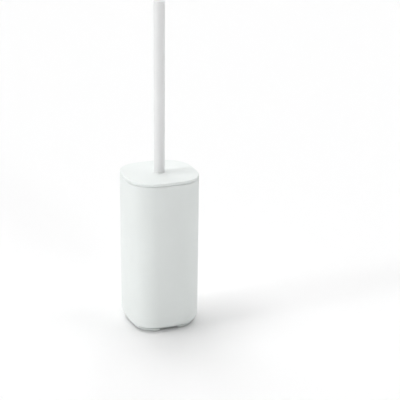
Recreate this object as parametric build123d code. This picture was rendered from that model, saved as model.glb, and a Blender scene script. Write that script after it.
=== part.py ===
from build123d import *

import math
import os

# Free-standing toilet brush holder: a rounded-square casing with a lift-out cup, and a brush that hangs from its own
# lid. Millimetres, +Z up. The origin is on the floor, under the middle of the holder. The -Y side is the front.

# Driving dimensions of the holder
SIDE = 90.0  # across two opposite sides, at the middle of each
CORNER_R = 31.0  # outer corner, seen from above
SIDE_R = 150.0  # each side is a shallow arc of this radius, not a straight line
RIM_Z = 189.1  # top edge of the casing
SHELL_Z = 2.6  # underside of the casing, lifted off the floor by the foot ring
WALL = 2.4
LOWER_EDGE_R = 10.0
RIM_EDGE_R = 1.5

# Base plate with the foot ring
RING_INSET = 6.5
RING_Z = 0.4  # the pads stand this far below the ring
MOUTH_INSET = 12.0  # the opening in the casing's bottom that the plate plugs
PLUG_WALL = 1.6
PLUG_TOP = 7.5
NOTCH_WIDTH = 24.0
HOOK_WIDTH = 12.0
HOOK_CATCH = 1.0  # how far each hook reaches over the casing's bottom
PAD_R = 5.0
PAD_PLACE = 21.0
PAD_RECESS = 0.6
WEB_BOTTOM = 2.0
WEB_TOP = 4.2

PAD_PLACES = {
    "front_left": (-PAD_PLACE, -PAD_PLACE),
    "front_right": (PAD_PLACE, -PAD_PLACE),
    "back_left": (-PAD_PLACE, PAD_PLACE),
    "back_right": (PAD_PLACE, PAD_PLACE),
}

# Lift-out cup
LEDGE_TOP = 183.5
LEDGE_HEIGHT = 6.0
LEDGE_INSET = 4.4
CUP_BOTTOM = 8.4
CUP_TOP_INSET = 4.9
CUP_BOTTOM_INSET = 6.0
CUP_WALL = 1.5
CUP_FLOOR = 1.8
CUP_EDGE_R = 4.0
FLANGE_TOP = LEDGE_TOP + 2.0

# Lid: its skirt rests on the cup's flange, which leaves a narrow dark gap over the casing's rim
LID_BOTTOM = RIM_Z + 0.3
LID_TOP = 192.5
LID_SKIN = 1.8
LID_EDGE_R = 1.0
LID_LOWER_EDGE_R = 0.4
SKIRT_BOTTOM = FLANGE_TOP + 0.1
SKIRT_WALL = 1.8
BOSS_R = 11.0
RIB_WIDTH = 1.6
RIB_DEPTH = 3.0

# Handle and stem
TUBE_R = 6.6
TUBE_WALL = 1.2
HANDLE_TOP = 396.5
CAP_THICKNESS = 1.6
CAP_PLUG = 10.0
INSERT_LENGTH = 24.0
STUD_R = 4.0
STUD_HOLE_R = 4.2  # through the lid and the washer
STUD_REACH = 18.0  # how far the stem's upper stud goes into the handle
WASHER_R = 9.0
WASHER_THICKNESS = 1.0
STEM_R = 5.5
COLLAR_R = 8.0
COLLAR_HEIGHT = 3.0

# Brush head
CORE_TOP = 106.0
CORE_BOTTOM = 37.0
CORE_R = 11.0
CORE_NECK_R = 8.5
SOCKET_DEPTH = 14.0
SPIGOT_R = 5.0  # a coarse thread of 3 mm pitch, drawn as a plain cylinder
SPIGOT_LENGTH = 12.0
SEAL_GAP = 2.0  # between the core and the stem's lower collar, filled by the seal ring
SEAL_R = 0.98
SEAL_MID_R = 6.3
ROWS = 8
TUFTS = 16  # in each row
ROW_PITCH = 7.6
ROW_THICKNESS = 7.2
FIRST_ROW_Z = 42.0
BRISTLE_R = 34.0
TUFT_VALLEY_R = 12.5
TUFT_ROOT_ARC = 14.0  # degrees
TUFT_TIP_ARC = 12.5  # degrees
TIP_BOTTOM = 28.0

# Clearances
SLIDE_GAP = 0.3  # between pieces that lift past each other
FIT_GAP = 0.05  # round a piece that is pressed or screwed into another

# Where the side and corner arcs meet: all outlines are offsets of one another about the same centres.
HALF = SIDE / 2
SIDE_CENTRE = SIDE_R - HALF
CORNER_CENTRE = (math.sqrt(2 * (SIDE_R - CORNER_R) ** 2 - SIDE_CENTRE**2) - SIDE_CENTRE) / 2
MEET = math.degrees(math.atan2(CORNER_CENTRE, CORNER_CENTRE + SIDE_CENTRE))


def outline(inset, z):
    """The holder's rounded square as a face at height z, drawn in by inset on every side."""
    edges = []
    for quarter in range(4):
        turn = Rot(0, 0, 90 * quarter)
        side = CenterArc((-SIDE_CENTRE, 0), SIDE_R - inset, -MEET, 2 * MEET)
        corner = CenterArc((CORNER_CENTRE, CORNER_CENTRE), CORNER_R - inset, MEET, 90 - 2 * MEET)
        edges += [turn * side, turn * corner]
    return Pos(0, 0, z) * make_face(edges)


def prism(inset, bottom, top):
    return extrude(outline(inset, bottom), amount=top - bottom, dir=(0, 0, 1))


def tapered(bottom_inset, bottom, top_inset, top):
    return loft([outline(bottom_inset, bottom), outline(top_inset, top)], ruled=True)


def rod(radius, bottom, top):
    return Pos(0, 0, bottom) * Cylinder(radius, top - bottom, align=(Align.CENTER, Align.CENTER, Align.MIN))


def edges_at(solid, z):
    """The outline's edges that lie flat at height z."""
    return solid.edges().filter_by_position(Axis.Z, z - 1e-3, z + 1e-3)


def block(width, depth, height, x, y, z):
    return Pos(x, y, z) * Box(width, depth, height, align=(Align.CENTER, Align.CENTER, Align.MIN))


def holder_shell():
    body = prism(0, SHELL_Z, RIM_Z)
    body = fillet(edges_at(body, SHELL_Z), LOWER_EDGE_R)
    body = fillet(edges_at(body, RIM_Z), RIM_EDGE_R)
    inside = prism(WALL, SHELL_Z + WALL, RIM_Z + 1)
    inside = fillet(edges_at(inside, SHELL_Z + WALL), LOWER_EDGE_R - WALL)
    mouth = prism(MOUTH_INSET, SHELL_Z - 1, SHELL_Z + WALL + 1)
    ledge = prism(WALL - 0.5, LEDGE_TOP - LEDGE_HEIGHT, LEDGE_TOP)
    ledge -= tapered(WALL, LEDGE_TOP - LEDGE_HEIGHT, LEDGE_INSET, LEDGE_TOP - LEDGE_HEIGHT / 2)
    ledge -= prism(LEDGE_INSET, LEDGE_TOP - LEDGE_HEIGHT / 2, LEDGE_TOP)
    return body - inside - mouth + ledge


def base_plate():
    plug_inset = MOUTH_INSET + SLIDE_GAP
    ring = prism(RING_INSET, RING_Z, SHELL_Z) - prism(MOUTH_INSET, RING_Z, WEB_BOTTOM)
    plug = prism(plug_inset, SHELL_Z, PLUG_TOP) - prism(plug_inset + PLUG_WALL, WEB_TOP, PLUG_TOP)
    plate = ring + plug
    hook_bottom = SHELL_Z + WALL + FIT_GAP
    hook_reach = SLIDE_GAP + HOOK_CATCH
    for quarter in range(4):
        hook = block(2 * hook_reach, HOOK_WIDTH, PLUG_TOP - hook_bottom, HALF - plug_inset, 0, hook_bottom)
        plate += Rot(0, 0, 90 * quarter) * hook
    for side in (-1, 1):
        plate -= block(NOTCH_WIDTH, 12, WEB_BOTTOM + 0.2, 0, side * (HALF - RING_INSET), 0)
    for x, y in PAD_PLACES.values():
        plate -= Pos(x, y) * rod(PAD_R + FIT_GAP, 0, WEB_BOTTOM + PAD_RECESS)
    return plate


def foot_pad(x, y):
    pad = rod(PAD_R, 0, WEB_BOTTOM + PAD_RECESS)
    return Pos(x, y) * fillet(edges_at(pad, 0), 0.4)


def inner_cup():
    body = tapered(CUP_BOTTOM_INSET, CUP_BOTTOM, CUP_TOP_INSET, LEDGE_TOP)
    body = fillet(edges_at(body, CUP_BOTTOM), CUP_EDGE_R)
    body += prism(WALL + SLIDE_GAP, LEDGE_TOP, FLANGE_TOP)
    inside = tapered(CUP_BOTTOM_INSET + CUP_WALL, CUP_BOTTOM + CUP_FLOOR, CUP_TOP_INSET + CUP_WALL, FLANGE_TOP)
    inside = fillet(edges_at(inside, CUP_BOTTOM + CUP_FLOOR), CUP_EDGE_R - CUP_WALL)
    return body - inside


def lid():
    plate = prism(0, LID_BOTTOM, LID_TOP)
    plate = fillet(edges_at(plate, LID_TOP), LID_EDGE_R)
    plate = fillet(edges_at(plate, LID_BOTTOM), LID_LOWER_EDGE_R)
    skirt_inset = WALL + SLIDE_GAP
    ceiling = LID_TOP - LID_SKIN
    plate += prism(skirt_inset, SKIRT_BOTTOM, LID_BOTTOM + 0.5)
    plate -= prism(skirt_inset + SKIRT_WALL, SKIRT_BOTTOM, ceiling)
    ribs = rod(BOSS_R, SKIRT_BOTTOM, ceiling)
    length = HALF - skirt_inset - 0.5
    for quarter in range(4):
        rib = block(length, RIB_WIDTH, RIB_DEPTH, length / 2, 0, ceiling - RIB_DEPTH)
        ribs += Rot(0, 0, 90 * quarter) * rib
    return plate + ribs - rod(STUD_HOLE_R, SKIRT_BOTTOM, LID_TOP)


def lid_washer():
    bottom = SKIRT_BOTTOM - WASHER_THICKNESS
    return rod(WASHER_R, bottom, SKIRT_BOTTOM) - rod(STUD_HOLE_R, bottom, SKIRT_BOTTOM)


def handle_tube():
    top = HANDLE_TOP - CAP_THICKNESS
    return rod(TUBE_R, LID_TOP, top) - rod(TUBE_R - TUBE_WALL, LID_TOP, top)


def handle_cap():
    seat = HANDLE_TOP - CAP_THICKNESS
    cap = rod(TUBE_R, seat, HANDLE_TOP)
    cap = fillet(edges_at(cap, HANDLE_TOP), 0.6)
    plug = rod(TUBE_R - TUBE_WALL - FIT_GAP, seat - CAP_PLUG, seat)
    plug = chamfer(edges_at(plug, seat - CAP_PLUG), 0.8)
    return cap + plug


def handle_insert():
    insert = rod(TUBE_R - TUBE_WALL - FIT_GAP, LID_TOP, LID_TOP + INSERT_LENGTH)
    insert = chamfer(edges_at(insert, LID_TOP + INSERT_LENGTH), 0.8)
    return insert - rod(STUD_R + FIT_GAP, LID_TOP, LID_TOP + STUD_REACH + 2)


def brush_stem():
    shoulder = SKIRT_BOTTOM - WASHER_THICKNESS
    foot = CORE_TOP + SEAL_GAP
    stem = rod(STEM_R, foot, shoulder)
    stem += rod(COLLAR_R, shoulder - COLLAR_HEIGHT, shoulder)
    stem += rod(COLLAR_R, foot, foot + COLLAR_HEIGHT)
    stud = rod(STUD_R, shoulder, LID_TOP + STUD_REACH)
    stem += chamfer(edges_at(stud, LID_TOP + STUD_REACH), 0.8)
    spigot = rod(SPIGOT_R, foot - SEAL_GAP - SPIGOT_LENGTH, foot)
    return stem + chamfer(edges_at(spigot, foot - SEAL_GAP - SPIGOT_LENGTH), 1.0)


def head_seal():
    return Pos(0, 0, CORE_TOP + SEAL_GAP / 2) * Torus(SEAL_MID_R, SEAL_R)


def head_core():
    profile = make_face(
        Polyline(
            (0, CORE_BOTTOM),
            (CORE_R - 4, CORE_BOTTOM),
            (CORE_R, CORE_BOTTOM + 4),
            (CORE_R, CORE_TOP - 5),
            (CORE_NECK_R, CORE_TOP - 2),
            (CORE_NECK_R, CORE_TOP),
            (0, CORE_TOP),
            close=True,
        )
    )
    core = revolve(Plane.XZ * profile, axis=Axis.Z)
    return core - rod(SPIGOT_R + FIT_GAP, CORE_TOP - SOCKET_DEPTH, CORE_TOP)


def bristle_radius(row):
    """The head is barrel-shaped: its end rows are a little shorter."""
    middle = (ROWS - 1) / 2
    return BRISTLE_R - 2.0 * (abs(row - middle) / middle) ** 3


def polar(radius, degrees):
    return radius * math.cos(math.radians(degrees)), radius * math.sin(math.radians(degrees))


def bristle_row(row):
    """One row of tufts as a star: each tuft flares from the core to the tips, and alternate rows are staggered."""
    bottom = FIRST_ROW_Z + row * ROW_PITCH - ROW_THICKNESS / 2
    pitch = 360 / TUFTS
    points = []
    for tuft in range(TUFTS):
        middle = pitch * (tuft + 0.5 * (row % 2))
        points.append(polar(TUFT_VALLEY_R, middle - TUFT_ROOT_ARC / 2))
        points.append(polar(bristle_radius(row), middle - TUFT_TIP_ARC / 2))
        points.append(polar(bristle_radius(row), middle + TUFT_TIP_ARC / 2))
        points.append(polar(TUFT_VALLEY_R, middle + TUFT_ROOT_ARC / 2))
    star = extrude(Pos(0, 0, bottom) * make_face(Polyline(*points, close=True)), amount=ROW_THICKNESS, dir=(0, 0, 1))
    return star - rod(CORE_R + FIT_GAP, bottom, bottom + ROW_THICKNESS)


def tip_bristles():
    """The tufts that stand out of the core's end and flare to fill the head's rounded bottom."""
    top = FIRST_ROW_Z - ROW_THICKNESS / 2 - 0.4
    dome = Pos(0, 0, TIP_BOTTOM) * Cone(20, 28, top - TIP_BOTTOM, align=(Align.CENTER, Align.CENTER, Align.MIN))
    dome = fillet(edges_at(dome, TIP_BOTTOM), 4.0)
    return dome - rod(CORE_R + FIT_GAP, CORE_BOTTOM - FIT_GAP, top)


parts = {
    "holder_shell": holder_shell(),
    "base_plate": base_plate(),
    "inner_cup": inner_cup(),
    "lid": lid(),
    "lid_washer": lid_washer(),
    "handle_tube": handle_tube(),
    "handle_cap": handle_cap(),
    "handle_insert": handle_insert(),
    "brush_stem": brush_stem(),
    "head_seal": head_seal(),
    "head_core": head_core(),
    "tip_bristles": tip_bristles(),
}
for place, (x, y) in PAD_PLACES.items():
    parts[f"foot_pad_{place}"] = foot_pad(x, y)
for number in range(ROWS):
    parts[f"bristle_row_{number + 1}"] = bristle_row(number)

os.makedirs("parts", exist_ok=True)
for name, shape in parts.items():
    export_step(shape, f"parts/{name}.step")
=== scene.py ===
"""Looks of the free-standing toilet brush holder, in metres.

Materials, bristles, the turned stem with its thread and flutes, the studio and the camera.
"""

import math
import random

import bpy
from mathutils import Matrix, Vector


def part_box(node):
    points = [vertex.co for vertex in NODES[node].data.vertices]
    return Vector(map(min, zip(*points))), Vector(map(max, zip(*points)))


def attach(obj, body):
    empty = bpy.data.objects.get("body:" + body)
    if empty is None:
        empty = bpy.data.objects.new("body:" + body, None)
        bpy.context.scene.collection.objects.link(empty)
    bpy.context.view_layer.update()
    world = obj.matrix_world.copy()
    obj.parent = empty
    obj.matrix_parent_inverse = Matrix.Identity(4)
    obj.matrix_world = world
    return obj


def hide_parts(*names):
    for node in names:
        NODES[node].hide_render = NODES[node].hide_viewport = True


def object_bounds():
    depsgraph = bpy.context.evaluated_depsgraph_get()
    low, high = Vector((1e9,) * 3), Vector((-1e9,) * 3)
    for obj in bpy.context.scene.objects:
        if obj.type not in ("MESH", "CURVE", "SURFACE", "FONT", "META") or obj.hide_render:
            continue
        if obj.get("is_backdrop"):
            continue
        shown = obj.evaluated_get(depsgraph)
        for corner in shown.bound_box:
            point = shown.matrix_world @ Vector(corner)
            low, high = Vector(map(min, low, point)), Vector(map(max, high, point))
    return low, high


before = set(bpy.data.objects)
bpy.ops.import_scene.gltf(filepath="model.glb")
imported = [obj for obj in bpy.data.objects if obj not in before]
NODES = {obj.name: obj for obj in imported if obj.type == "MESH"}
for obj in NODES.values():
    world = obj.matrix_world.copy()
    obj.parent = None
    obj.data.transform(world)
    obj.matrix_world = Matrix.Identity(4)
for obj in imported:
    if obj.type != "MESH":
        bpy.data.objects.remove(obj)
CAD_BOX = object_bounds()

MM = 0.001

# Colours (linear RGB)
WHITE = (0.805, 0.838, 0.825)
# The lid is the same plastic as the casing; its lighter white is painted light on the lid's top
LID_WHITE_PAINTED_LIGHT = (0.845, 0.878, 0.865)
HANDLE_WHITE = (0.825, 0.83, 0.83)
CUP_WHITE = (0.78, 0.81, 0.81)
BASE_WHITE = (0.74, 0.77, 0.76)
NYLON_WHITE = (0.94, 0.95, 0.95)
INSERT_WHITE = (0.72, 0.72, 0.68)
SEAL_GREY = (0.26, 0.28, 0.29)
FOOT_GREY = (0.45, 0.46, 0.46)
FLOOR_WHITE = (0.945, 0.945, 0.945)

# Surfaces
GRAIN_SIZE = 0.6 * MM  # spark-eroded grain on moulded plastic
FLOW_SHADE = 0.97  # flow marks in moulded plastic, as a share of the colour
PEEL_SHADE = 0.975  # thin spots in the powder coat
DUST_SHADE = 0.85  # dusty patches on rubber
LOT_SHADE = 0.92  # the darkest filament
NOISE_LOW = 0.3  # nearly all of a noise texture lies between these two values
NOISE_HIGH = 0.7

# Studio
FLOOR_DROP = 0.1 * MM  # keeps the floor from flickering through the pads that stand on it
FLOOR_R = 9.0
DOME_R = 8.5
DOME_GLOW = 1.15
ROOM_LIGHT = 0.12
# Name, bearing, height and spread in degrees, strength. The directions and strengths are the result of a
# least-squares fit of the object's and the floor's tones, with the strengths rounded.
SUNS = (
    ("high_left", 180, 65, 26, 0.94),
    ("high_behind_left", 120, 65, 26, 0.62),
    ("high_behind_right", 60, 65, 26, 0.44),
    ("high_right", 0, 65, 26, 0.56),
    ("behind_left", 120, 45, 22, 0.22),
    ("low_behind", 80, 24, 14, 0.33),
    ("low_behind_left", 100, 24, 14, 0.20),
    ("low_left", 200, 8, 12, 1.16),
    ("low_front_right", 300, 8, 12, 0.64),
)

# Camera, fitted to the object's outline
CAMERA_AZIMUTH = math.radians(-18.3)
CAMERA_REACH = 1.145  # along the floor, from the handle's axis
CAMERA_HEIGHT = 0.570
CAMERA_PITCH = math.radians(19.87)
CAMERA_LENS = 90.1  # mm
CAMERA_SENSOR = 36.0  # mm
CAMERA_SHIFT = 0.102  # the object stands a little left of the middle


# ---------------------------------------------------------------- materials

class Nodes:
    """A short way to write a material's node tree."""

    def __init__(self, name):
        self.material = bpy.data.materials.new(name)
        self.material.use_nodes = True
        self.tree = self.material.node_tree
        self.shader = self.tree.nodes["Principled BSDF"]

    def add(self, kind, **settings):
        node = self.tree.nodes.new(kind)
        for key, value in settings.items():
            setattr(node, key, value)
        return node

    def link(self, out, into):
        self.tree.links.new(out, into)

    def place(self):
        """Object coordinates in metres, the same on every piece."""
        return self.add("ShaderNodeTexCoord").outputs["Object"]

    def noise(self, scale, detail=3.0, roughness=0.5):
        node = self.add("ShaderNodeTexNoise")
        node.inputs["Scale"].default_value = scale
        node.inputs["Detail"].default_value = detail
        node.inputs["Roughness"].default_value = roughness
        self.link(self.place(), node.inputs["Vector"])
        return node.outputs["Fac"]

    def mapped(self, value, low, high):
        """A noise spread out between two values."""
        node = self.add("ShaderNodeMapRange")
        node.inputs["From Min"].default_value = NOISE_LOW
        node.inputs["From Max"].default_value = NOISE_HIGH
        node.inputs["To Min"].default_value = low
        node.inputs["To Max"].default_value = high
        self.link(value, node.inputs["Value"])
        return node.outputs["Result"]

    def tinted(self, factor, light, dark):
        node = self.add("ShaderNodeMix", data_type="RGBA")
        node.inputs["A"].default_value = (*dark, 1)
        node.inputs["B"].default_value = (*light, 1)
        self.link(factor, node.inputs["Factor"])
        return node.outputs["Result"]

    def bumped(self, height, distance, strength=1.0, after=None):
        node = self.add("ShaderNodeBump")
        node.inputs["Distance"].default_value = distance
        node.inputs["Strength"].default_value = strength
        self.link(height, node.inputs["Height"])
        if after:
            self.link(after, node.inputs["Normal"])
        return node.outputs["Normal"]

    def colour_between(self, factor, colour, share):
        """The colour where factor is 1, and a darker share of it where factor is 0."""
        self.link(self.tinted(factor, colour, shade(colour, share)), self.shader.inputs["Base Color"])

    def roughness_between(self, texture, low, high):
        self.link(self.mapped(texture, low, high), self.shader.inputs["Roughness"])


def shade(colour, amount):
    return tuple(channel * amount for channel in colour)


def moulded_plastic(name, colour, roughness, grain=0.02, gloss=0.5):
    """Moulded plastic: faint flow marks, fine spark-eroded grain, and a roughness that varies a little."""
    n = Nodes(name)
    n.colour_between(n.mapped(n.noise(18.0, detail=4.0), 0.0, 1.0), colour, FLOW_SHADE)
    n.roughness_between(n.noise(55.0, detail=5.0), roughness - 0.05, roughness + 0.05)
    fine = n.noise(1 / GRAIN_SIZE, detail=2.0, roughness=0.6)
    waves = n.bumped(n.noise(45.0, detail=2.0), 0.12 * MM, 0.5)
    n.link(n.bumped(fine, grain * MM, 1.0, after=waves), n.shader.inputs["Normal"])
    n.shader.inputs["Specular IOR Level"].default_value = gloss
    return n.material


def powder_coat(name, colour):
    """Baked powder coat on steel: orange-peel waves of a millimetre or two."""
    n = Nodes(name)
    n.colour_between(n.mapped(n.noise(30.0), 0.0, 1.0), colour, PEEL_SHADE)
    n.roughness_between(n.noise(90.0, detail=4.0), 0.40, 0.46)
    n.shader.inputs["Specular IOR Level"].default_value = 0.8
    peel = n.bumped(n.noise(700.0, detail=1.0), 0.02 * MM, 1.0)
    n.link(n.bumped(n.noise(2600.0, detail=1.0), 0.006 * MM, 1.0, after=peel), n.shader.inputs["Normal"])
    return n.material


def rubber(name, colour):
    n = Nodes(name)
    n.colour_between(n.mapped(n.noise(220.0), 0.0, 1.0), colour, DUST_SHADE)
    n.roughness_between(n.noise(400.0), 0.7, 0.85)
    n.link(n.bumped(n.noise(1800.0), 0.03 * MM), n.shader.inputs["Normal"])
    n.shader.inputs["Specular IOR Level"].default_value = 0.35
    return n.material


def filament(name, colour):
    """Nylon filament: each one is a slightly different white, and glossy along its length."""
    n = Nodes(name)
    island = n.add("ShaderNodeNewGeometry").outputs["Random Per Island"]
    n.colour_between(island, colour, LOT_SHADE)
    n.roughness_between(n.noise(900.0), 0.28, 0.42)
    n.link(n.bumped(n.noise(3000.0), 0.01 * MM), n.shader.inputs["Normal"])
    n.shader.inputs["Subsurface Weight"].default_value = 0.5
    n.shader.inputs["Subsurface Radius"].default_value = (1, 1, 1)
    n.shader.inputs["Subsurface Scale"].default_value = 1.0 * MM
    return n.material


def dress(node, material):
    mesh = NODES[node].data
    mesh.materials.clear()
    mesh.materials.append(material)


CASING = moulded_plastic("casing_white", WHITE, 0.45)
# Painted light: the lid's white is lighter than the casing's, to brighten its top
LID = moulded_plastic("lid_white_painted_light", LID_WHITE_PAINTED_LIGHT, 0.62, gloss=0.35)
BASE = moulded_plastic("base_white", BASE_WHITE, 0.5, grain=0.03)
CUP = moulded_plastic("cup_white", CUP_WHITE, 0.45, grain=0.006)
CAP = moulded_plastic("cap_white", HANDLE_WHITE, 0.4)
INSERT = moulded_plastic("insert_natural", INSERT_WHITE, 0.5)
STEM = moulded_plastic("stem_white", WHITE, 0.3, grain=0.008)
LACQUER = powder_coat("handle_lacquer", HANDLE_WHITE)
SEAL = rubber("seal_grey", SEAL_GREY)
FOOT = rubber("foot_grey", FOOT_GREY)
BRISTLE = filament("bristle_nylon", NYLON_WHITE)

for node_name, finish in {
    "holder_shell": CASING,
    "lid": LID,
    "base_plate": BASE,
    "inner_cup": CUP,
    "handle_tube": LACQUER,
    "handle_cap": CAP,
    "handle_insert": INSERT,
    "brush_stem": STEM,
    "head_core": STEM,
    "lid_washer": SEAL,
    "head_seal": SEAL,
    "foot_pad_front_left": FOOT,
    "foot_pad_front_right": FOOT,
    "foot_pad_back_left": FOOT,
    "foot_pad_back_right": FOOT,
}.items():
    dress(node_name, finish)


# ---------------------------------------------------------------- brush head and stem

ROWS = 8
FILAMENTS = 30  # in a tuft
FILAMENT_R = 0.22 * MM
FILAMENT_SIDES = 4
FILAMENT_STEPS = 5
TUFTS = 16  # in a row
TUFT_HOLE_R = 1.3 * MM
TUFT_DEPTH = 1.2 * MM  # how far a tuft's root lies inside the core
TUFT_SPREAD = math.radians(9.5)  # either side of the tuft's middle, at the tips
TRIM = 0.7 * MM  # how unevenly the tips are cut
CRIMP = 0.16 * MM
TUFT_LEAN = 0.02  # radians either way
ROW_SCATTER = 0.14  # how far a filament strays from its even place in the tuft, as a share of the tuft
TIP_SCATTER = 0.12
TIP_FLARE = 3.6  # how much wider a tip tuft is at its end than at its hole

STEM_R = 5.5 * MM
COLLAR_R = 8.0 * MM
COLLAR_HEIGHT = 3.0 * MM
STUD_R = 4.0 * MM
SPIGOT_R = 5.0 * MM
SPIGOT_LENGTH = 12.0 * MM
SEAL_GAP = 2.0 * MM
THREAD_PITCH = 3.0 * MM
THREAD_DEPTH = 0.8 * MM
FLUTES = 4
FLUTE_DEPTH = 0.9 * MM
FLUTE_RUN_OUT = 6.0 * MM
COLLAR_EDGE = 0.6 * MM
STEM_SIDES = 64
FLUTE_LEVELS = 40
LEVELS_PER_THREAD = 14


def piece(name, vertices, faces, material):
    mesh = bpy.data.meshes.new(name)
    mesh.from_pydata(vertices, [], faces)
    mesh.validate()
    mesh.shade_smooth()
    mesh.materials.append(material)
    made = bpy.data.objects.new(name, mesh)
    bpy.context.scene.collection.objects.link(made)
    return made


def around(radius, angle, height):
    return Vector((radius * math.cos(angle), radius * math.sin(angle), height))


def sunflower(count):
    """Evenly scattered points in a disc of radius one."""
    golden = math.pi * (3 - math.sqrt(5))
    for number in range(count):
        reach = math.sqrt((number + 0.5) / count)
        yield reach * math.cos(number * golden), reach * math.sin(number * golden)


def add_filament(vertices, faces, root, knee, tip, chance):
    """One nylon filament: a thin tube on a curve from root to tip, bent towards knee and faintly crimped."""
    first = len(vertices)
    along = (tip - root).normalized()
    across = along.cross(Vector((0.3, 0.2, 1.0))).normalized()
    upward = along.cross(across)
    phase = chance.uniform(0, 2 * math.pi)
    for step in range(FILAMENT_STEPS):
        t = step / (FILAMENT_STEPS - 1)
        middle = root * (1 - t) ** 2 + knee * 2 * t * (1 - t) + tip * t * t
        middle += across * (CRIMP * math.sin(phase + 9 * t)) + upward * (CRIMP * math.cos(phase + 7 * t))
        radius = FILAMENT_R * (1 - 0.15 * t)
        for side in range(FILAMENT_SIDES):
            turn = 2 * math.pi * side / FILAMENT_SIDES
            vertices.append(middle + across * (radius * math.cos(turn)) + upward * (radius * math.sin(turn)))
    for step in range(FILAMENT_STEPS - 1):
        for side in range(FILAMENT_SIDES):
            a = first + step * FILAMENT_SIDES + side
            b = first + step * FILAMENT_SIDES + (side + 1) % FILAMENT_SIDES
            faces.append((a, b, b + FILAMENT_SIDES, a + FILAMENT_SIDES))
    last = first + (FILAMENT_STEPS - 1) * FILAMENT_SIDES
    faces.append(tuple(range(last, last + FILAMENT_SIDES)))
    faces.append(tuple(range(first + FILAMENT_SIDES - 1, first - 1, -1)))


def tuft_row(number):
    """One row of tufts round the core: each fans out from its hole to a wide brushy end."""
    node = f"bristle_row_{number}"
    low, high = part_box(node)
    reach = max(high.x, high.y)
    middle_z = (low.z + high.z) / 2
    half_height = (high.z - low.z) / 2
    core_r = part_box("head_core")[1].x
    chance = random.Random(100 + number)
    vertices, faces = [], []
    for tuft in range(TUFTS):
        bearing = 2 * math.pi * (tuft + 0.5 * ((number - 1) % 2)) / TUFTS
        lean = chance.uniform(-TUFT_LEAN, TUFT_LEAN)
        for u, v in sunflower(FILAMENTS):
            u += chance.uniform(-ROW_SCATTER, ROW_SCATTER)
            v += chance.uniform(-ROW_SCATTER, ROW_SCATTER)
            root_turn = bearing + u * TUFT_HOLE_R / core_r
            root = around(core_r - TUFT_DEPTH, root_turn, middle_z + v * TUFT_HOLE_R)
            knee_turn = bearing + 0.35 * u * TUFT_SPREAD
            knee = around(0.55 * core_r + 0.45 * reach, knee_turn, middle_z + 0.45 * v * half_height)
            tip_reach = reach - chance.uniform(0, TRIM) - 0.3 * TRIM * (u * u + v * v)
            tip = around(tip_reach, bearing + lean + u * TUFT_SPREAD, middle_z + 0.95 * v * half_height)
            add_filament(vertices, faces, root, knee, tip, chance)
    row = piece(f"tufts_row_{number}", vertices, faces, BRISTLE)
    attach(row, "head")
    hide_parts(node)


def tip_tufts():
    """A middle tuft and three rings of tufts in the core's end, which flare to round off the head."""
    low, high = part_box("tip_bristles")
    core_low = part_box("head_core")[0]
    wide = high.x
    chance = random.Random(7)
    # Tufts, root radius, root above the core's end, tip radius as a share of the head's, tip above its end
    rings = [
        (1, 0.0, 0.5 * MM, 0.0, 0.2 * MM),
        (6, 4.0 * MM, 0.5 * MM, 0.36, 0.4 * MM),
        (11, 7.4 * MM, 1.2 * MM, 0.66, 1.6 * MM),
        (15, 9.6 * MM, 3.2 * MM, 0.93, 5.2 * MM),
    ]
    vertices, faces = [], []
    for ring, (tufts, root_r, root_up, tip_share, tip_up) in enumerate(rings):
        for tuft in range(tufts):
            bearing = 2 * math.pi * (tuft + 0.37 * ring) / tufts
            root_middle = around(root_r, bearing, core_low.z + root_up)
            tip_middle = around(tip_share * wide, bearing, low.z + tip_up)
            out = around(1, bearing, 0)
            aside = around(1, bearing + math.pi / 2, 0)
            for u, v in sunflower(FILAMENTS):
                u += chance.uniform(-TIP_SCATTER, TIP_SCATTER)
                v += chance.uniform(-TIP_SCATTER, TIP_SCATTER)
                root = root_middle + (aside * u + out * v) * TUFT_HOLE_R
                tip = tip_middle + (aside * u + out * (0.8 * v)) * (TIP_FLARE * TUFT_HOLE_R)
                tip += Vector((0, 0, chance.uniform(0, TRIM) + 1.0 * MM * max(0.0, v)))
                knee = (root + tip) / 2 + Vector((0, 0, -1.0 * MM)) * tip_share
                add_filament(vertices, faces, root, knee, tip, chance)
    made = piece("tufts_tip", vertices, faces, BRISTLE)
    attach(made, "head")
    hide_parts("tip_bristles")


def thread_height(turns):
    """A rounded thread form: 0 in the root, 1 on the crest."""
    part = turns % 1.0
    return 0.5 - 0.5 * math.cos(2 * math.pi * part) if 0.1 < part < 0.9 else 0.0


def corner(z_from, z_to, r_from, r_to, steps=4):
    """A quarter-round step in an outline, as (z, radius) pairs."""
    for step in range(steps + 1):
        t = step / steps * math.pi / 2
        yield z_from + (z_to - z_from) * math.sin(t), r_from + (r_to - r_from) * (1 - math.cos(t))


def collar(low, high):
    """A collar's outline with eased edges, from its lower face to its upper one."""
    part = 0.3 * COLLAR_EDGE
    return [
        (low, COLLAR_R - COLLAR_EDGE), (low + part, COLLAR_R - part), (low + COLLAR_EDGE, COLLAR_R),
        (high - COLLAR_EDGE, COLLAR_R), (high - part, COLLAR_R - part), (high, COLLAR_R - COLLAR_EDGE),
    ]


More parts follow.
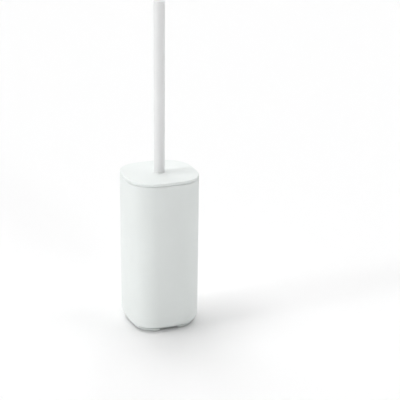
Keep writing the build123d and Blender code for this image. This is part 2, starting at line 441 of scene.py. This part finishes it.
def stem():
    """The stem turned as one piece: stud, collars, fluted rod, and the spigot with its coarse thread."""
    low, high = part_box("brush_stem")
    spigot_top = low.z + SPIGOT_LENGTH
    foot = spigot_top + SEAL_GAP
    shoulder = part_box("lid_washer")[0].z
    flute_start = foot + COLLAR_HEIGHT + 4 * MM
    flute_end = shoulder - COLLAR_HEIGHT - 4 * MM

    def threaded(z, angle):
        run_in = min(1.0, (z - low.z) / THREAD_PITCH, (spigot_top - z) / (0.5 * THREAD_PITCH))
        crest = thread_height(z / THREAD_PITCH - angle / (2 * math.pi))
        return SPIGOT_R - THREAD_DEPTH * (1 - max(0.0, run_in) * crest)

    def fluted(z, angle):
        ease = max(0.0, min(1.0, (z - flute_start) / FLUTE_RUN_OUT, (flute_end - z) / FLUTE_RUN_OUT))
        hollow = max(0.0, math.cos(FLUTES * angle)) ** 2
        return STEM_R - FLUTE_DEPTH * ease ** 0.5 * hollow

    def carved(radius, z_from, z_to, levels):
        """Rings whose radius changes round the stem, each as its height and its radii."""
        for level in range(levels + 1):
            z = z_from + (z_to - z_from) * level / levels
            yield z, [radius(z, 2 * math.pi * side / STEM_SIDES) for side in range(STEM_SIDES)]

    def plain(outline):
        for z, r in outline:
            yield z, [r] * STEM_SIDES

    collar_top = foot + COLLAR_HEIGHT
    upper = shoulder - COLLAR_HEIGHT
    rings = [
        *carved(threaded, low.z, spigot_top, int(SPIGOT_LENGTH / (THREAD_PITCH / LEVELS_PER_THREAD))),
        *plain([(spigot_top + 0.1 * MM, SPIGOT_R), (foot, SPIGOT_R)]),
        *plain(collar(foot, collar_top)),
        *plain(corner(collar_top, collar_top + 1.5 * MM, STEM_R + 1.5 * MM, STEM_R)),
        *carved(fluted, flute_start, flute_end, FLUTE_LEVELS),
        *plain([(upper - 1.5 * MM, STEM_R), (upper - 0.5 * MM, STEM_R + 0.5 * MM)]),
        *plain([(upper, STEM_R + 1.5 * MM)]),
        *plain(collar(upper, shoulder)),
        *plain([(shoulder, STUD_R), (high.z - 0.8 * MM, STUD_R), (high.z, STUD_R - 0.8 * MM)]),
    ]
    turns = [2 * math.pi * side / STEM_SIDES for side in range(STEM_SIDES)]
    vertices = [around(r, turn, z) for z, radii in rings for r, turn in zip(radii, turns)]
    faces = [tuple(range(STEM_SIDES - 1, -1, -1))]
    for level in range(len(rings) - 1):
        for side in range(STEM_SIDES):
            a = level * STEM_SIDES + side
            b = level * STEM_SIDES + (side + 1) % STEM_SIDES
            faces.append((a, b, b + STEM_SIDES, a + STEM_SIDES))
    faces.append(tuple(range((len(rings) - 1) * STEM_SIDES, len(rings) * STEM_SIDES)))
    made = piece("stem", vertices, faces, STEM)
    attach(made, "brush")
    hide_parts("brush_stem")


for row_number in range(1, ROWS + 1):
    tuft_row(row_number)
tip_tufts()
stem()


# ---------------------------------------------------------------- studio

def floor():
    below = (0, 0, -FLOOR_DROP)
    bpy.ops.mesh.primitive_circle_add(vertices=96, radius=FLOOR_R, fill_type="NGON", location=below)
    disc = bpy.context.object
    disc.name = "studio_floor"
    n = Nodes("studio_floor")
    n.link(n.tinted(n.noise(3.0), FLOOR_WHITE, shade(FLOOR_WHITE, 0.995)), n.shader.inputs["Base Color"])
    n.shader.inputs["Roughness"].default_value = 0.9
    n.shader.inputs["Specular IOR Level"].default_value = 0.1
    disc.data.materials.append(n.material)
    disc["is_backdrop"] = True


def backdrop():
    """A white dome that only the camera sees: a plain background that adds no light of its own."""
    bpy.ops.mesh.primitive_uv_sphere_add(segments=48, ring_count=24, radius=DOME_R, location=(0, 0, 0))
    dome = bpy.context.object
    dome.name = "studio_dome"
    for face in dome.data.polygons:
        face.use_smooth = True
    dome.visible_diffuse = False
    dome.visible_glossy = False
    dome.visible_transmission = False
    dome.visible_shadow = False
    n = Nodes("studio_dome")
    n.shader.inputs["Base Color"].default_value = (0, 0, 0, 1)
    n.link(n.tinted(n.noise(0.3), FLOOR_WHITE, shade(FLOOR_WHITE, 0.99)), n.shader.inputs["Emission Color"])
    n.shader.inputs["Emission Strength"].default_value = DOME_GLOW
    dome.data.materials.append(n.material)
    dome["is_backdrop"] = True


def from_camera(right, back, up):
    """A point given as metres to the camera's right, away from it, and up, from the foot of the object."""
    toward = Vector((-math.sin(CAMERA_AZIMUTH), math.cos(CAMERA_AZIMUTH), 0))
    sideways = Vector((math.cos(CAMERA_AZIMUTH), math.sin(CAMERA_AZIMUTH), 0))
    return sideways * right + toward * back + Vector((0, 0, up))


def soft_sun(name, bearing, height, spread, strength):
    """A broad distant light. Bearing 0 is the camera's right, 90 is behind the object and 180 its left."""
    turn = math.radians(bearing)
    tilt = math.radians(height)
    level = math.cos(tilt)
    toward_light = from_camera(math.cos(turn) * level, math.sin(turn) * level, math.sin(tilt))
    light = bpy.data.lights.new(name, "SUN")
    light.angle = math.radians(spread)
    light.energy = strength
    lamp = bpy.data.objects.new(name, light)
    bpy.context.scene.collection.objects.link(lamp)
    lamp.location = toward_light
    lamp.rotation_euler = (-toward_light).to_track_quat("-Z", "Y").to_euler()


def studio():
    world = bpy.data.worlds.new("studio")
    world.use_nodes = True
    world.node_tree.nodes["Background"].inputs["Color"].default_value = (1, 1, 1, 1)
    world.node_tree.nodes["Background"].inputs["Strength"].default_value = ROOM_LIGHT
    bpy.context.scene.world = world
    bpy.context.scene.view_settings.view_transform = "Standard"
    for sun in SUNS:
        soft_sun(*sun)


def camera():
    data = bpy.data.cameras.new("camera")
    data.lens = CAMERA_LENS
    data.sensor_width = CAMERA_SENSOR
    data.shift_x = CAMERA_SHIFT
    eye = bpy.data.objects.new("camera", data)
    bpy.context.scene.collection.objects.link(eye)
    eye.location = from_camera(0, -CAMERA_REACH, CAMERA_HEIGHT)
    eye.rotation_euler = (math.pi / 2 - CAMERA_PITCH, 0, CAMERA_AZIMUTH)
    bpy.context.scene.camera = eye


floor()
backdrop()
studio()
camera()

[[list(corner) for corner in box] for box in (CAD_BOX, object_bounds())]
